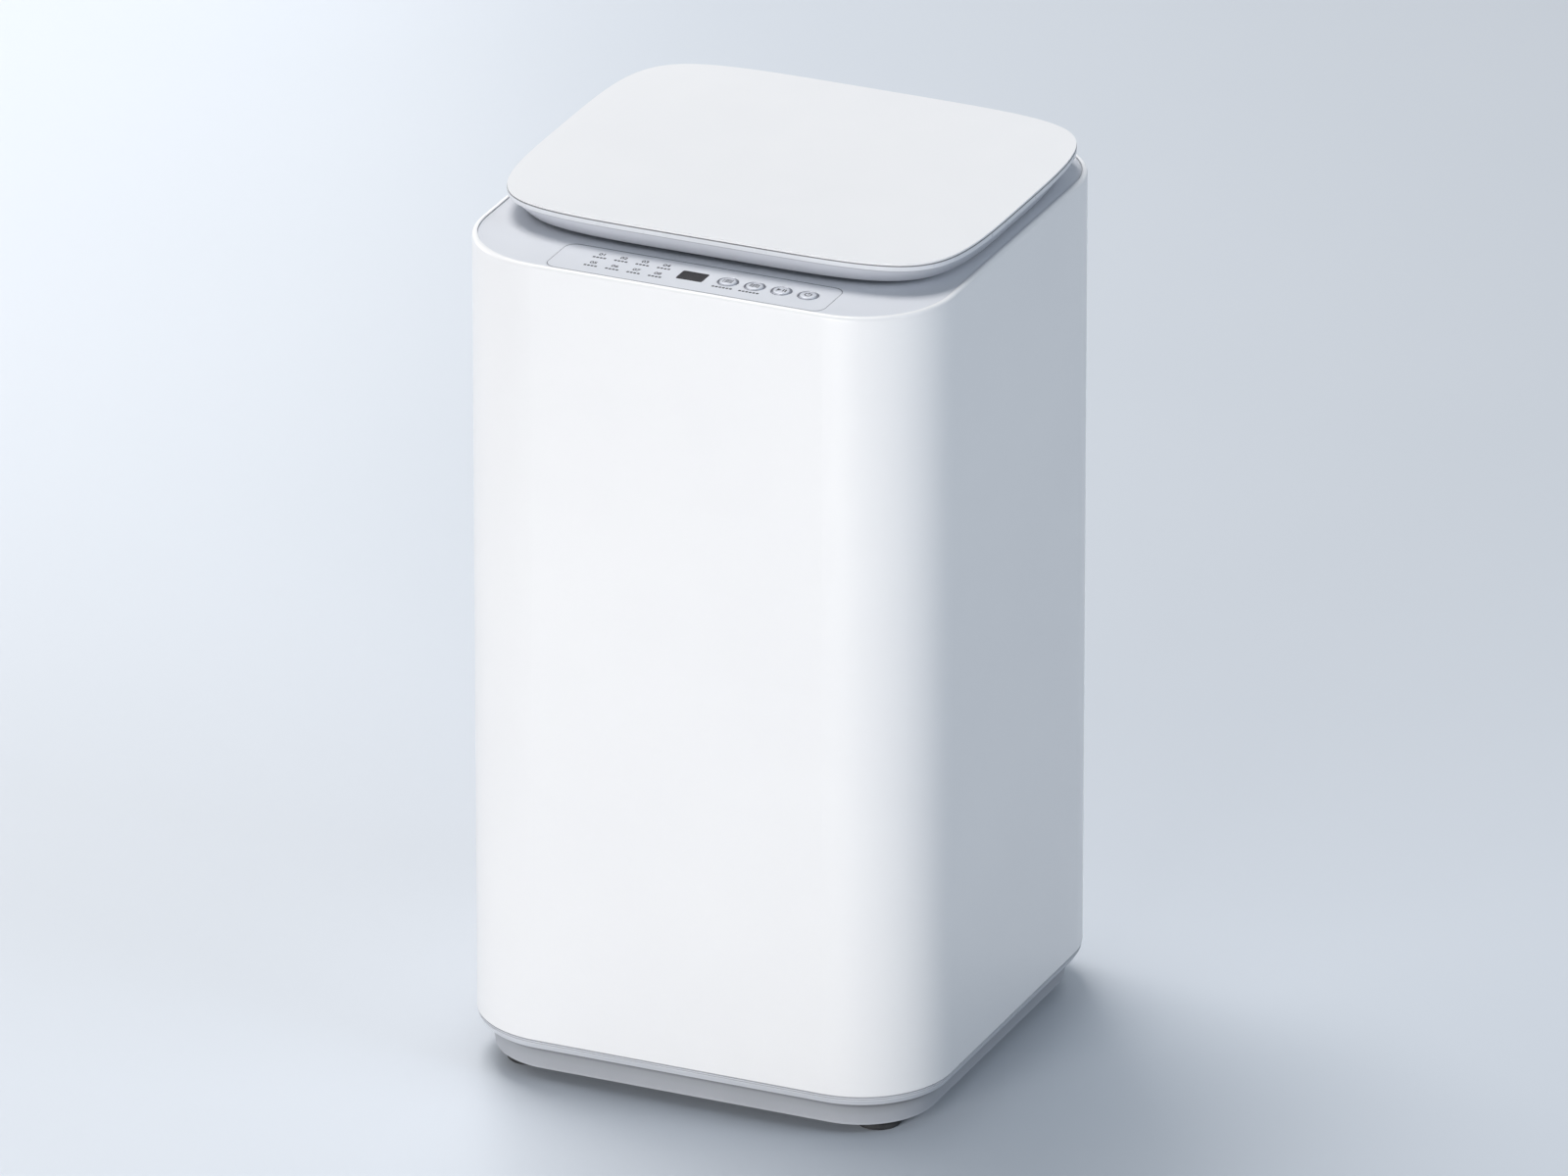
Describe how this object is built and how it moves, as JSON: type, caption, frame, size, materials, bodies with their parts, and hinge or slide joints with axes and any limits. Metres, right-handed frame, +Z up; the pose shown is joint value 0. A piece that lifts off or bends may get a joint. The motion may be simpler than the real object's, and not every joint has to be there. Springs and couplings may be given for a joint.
{
  "type": "shoe washer",
  "caption": "Compact top-loading shoe washer: rounded-square white cabinet, hinged lid with tapered tray, flat control panel, and inside a hung tub, spin basket and brush column.",
  "frame": {"origin": "on the floor, under the middle of the cabinet", "axes": "+Z up, front with the control panel faces -Y, +X to the right seen from the front"},
  "size_m": [0.4, 0.4009, 0.722],
  "materials": {
    "white_shell": "satin white",
    "deck_grey": "satin light grey",
    "base_grey": "satin light grey",
    "band_grey": "satin pearl grey",
    "overlay_film": "printed film",
    "smoked_acrylic": "smoked gloss",
    "bright_ring": "bright",
    "button_cap": "satin silver",
    "circuit_board": "green solder mask",
    "rubber_black": "moulded rubber",
    "galvanised": "zinc coated",
    "stainless": "brushed stainless",
    "machined_steel": "ground",
    "tub_plastic": "moulded",
    "pulsator_blue": "moulded blue grey",
    "bristle_nylon": "nylon bristle",
    "cast_aluminium": "cast",
    "motor_shell": "painted dark grey",
    "copper_winding": "enamelled copper",
    "pump_plastic": "moulded black",
    "valve_plastic": "moulded white",
    "spring_steel": "spring steel"
  },
  "bodies": {
    "cabinet_unit": {"cabinet": "white_shell", "trim_band": "base_grey", "base_tray": "base_grey", "foot_front_left": "rubber_black", "foot_rear_left": "rubber_black", "foot_rear_right": "rubber_black", "corner_brackets": "galvanised", "top_deck": "deck_grey", "control_overlay": "overlay_film", "display_window": "smoked_acrylic", "button_rings": "bright_ring", "control_board": "circuit_board", "lid_hinge_pin_left": "machined_steel", "lid_hinge_pin_right": "machined_steel", "back_cover": "deck_grey", "back_cover_screws": "galvanised", "cord_gland": "rubber_black", "inlet_valve": "valve_plastic", "suspension_seats": "pump_plastic", "suspension_rods": "machined_steel", "suspension_cups": "pump_plastic", "suspension_springs": "spring_steel", "drain_pump": "pump_plastic", "outlet_pipe": "pump_plastic", "drain_hose": "rubber_black", "pressure_sensor": "valve_plastic", "pressure_tube": "rubber_black", "power_board": "circuit_board"},
    "tub_unit": {"outer_tub": "tub_plastic", "tub_cover": "tub_plastic", "drive_bracket": "galvanised", "bearing_housing": "cast_aluminium", "upper_bearing": "machined_steel", "lower_bearing": "machined_steel", "shaft_seal": "rubber_black", "motor_housing": "motor_shell", "motor_windings": "copper_winding", "drive_belt": "rubber_black"},
    "basket_unit": {"basket": "stainless", "balance_ring": "tub_plastic", "spin_shaft": "machined_steel", "clutch_drum": "machined_steel"},
    "pulsator_unit": {"pulsator": "pulsator_blue", "pulsator_shaft": "machined_steel", "pulsator_screw": "machined_steel", "brush_core": "pulsator_blue", "brush_bristles": "bristle_nylon", "drive_pulley": "cast_aluminium"},
    "motor_rotor_unit": {"motor_rotor": "machined_steel", "motor_pulley": "cast_aluminium"},
    "pump_rotor": {"pump_impeller": "pulsator_blue"},
    "lid": {"lid_top_panel": "white_shell", "lid_rim_band": "band_grey", "lid_underside": "deck_grey"},
    "levelling_foot_unit": {"levelling_foot": "rubber_black"},
    "program_button_cap": {"program_button": "button_cap"},
    "level_button_cap": {"level_button": "button_cap"},
    "start_button_cap": {"start_button": "button_cap"},
    "power_button_cap": {"power_button": "button_cap"}
  },
  "joints": [
    {"name": "lid_hinge", "type": "hinge", "parent": "cabinet_unit", "child": "lid", "pos_m": [0, 0.184, 0.706], "axis": [-1, 0, 0], "range_deg": [0, 95]},
    {"name": "tub_suspension", "type": "slide", "parent": "cabinet_unit", "child": "tub_unit", "axis": [0, 0, 1], "range_m": [-0.012, 0.006], "stiffness_N_per_m": 14000, "springref_m": 0.00998, "deforming": ["suspension_springs", "drain_hose", "pressure_tube"]},
    {"name": "basket_spin", "type": "hinge", "parent": "tub_unit", "child": "basket_unit", "pos_m": [0, 0.016, 0.3], "axis": [0, 0, 1], "continuous": true},
    {"name": "pulsator_spin", "type": "hinge", "parent": "tub_unit", "child": "pulsator_unit", "pos_m": [0, 0.016, 0.2], "axis": [0, 0, 1], "continuous": true},
    {"name": "motor_spin", "type": "hinge", "parent": "tub_unit", "child": "motor_rotor_unit", "pos_m": [-0.095, 0.016, 0.12], "axis": [0, 0, 1], "continuous": true},
    {"name": "pump_spin", "type": "hinge", "parent": "cabinet_unit", "child": "pump_rotor", "pos_m": [0.1, 0.06, 0.09], "axis": [0, 0, 1], "continuous": true},
    {"name": "levelling_foot_screw", "type": "slide", "parent": "cabinet_unit", "child": "levelling_foot_unit", "axis": [0, 0, 1], "range_m": [-0.008, 0.0035]},
    {"name": "program_button_press", "type": "slide", "parent": "cabinet_unit", "child": "program_button_cap", "axis": [0, 0, -1], "range_m": [0, 0.0008], "stiffness_N_per_m": 2500},
    {"name": "level_button_press", "type": "slide", "parent": "cabinet_unit", "child": "level_button_cap", "axis": [0, 0, -1], "range_m": [0, 0.0008], "stiffness_N_per_m": 2500},
    {"name": "start_button_press", "type": "slide", "parent": "cabinet_unit", "child": "start_button_cap", "axis": [0, 0, -1], "range_m": [0, 0.0008], "stiffness_N_per_m": 2500},
    {"name": "power_button_press", "type": "slide", "parent": "cabinet_unit", "child": "power_button_cap", "axis": [0, 0, -1], "range_m": [0, 0.0008], "stiffness_N_per_m": 2500}
  ],
  "couplings": [
    {"joint": "motor_spin", "follows": "pulsator_spin", "ratio": 3.069}
  ]
}
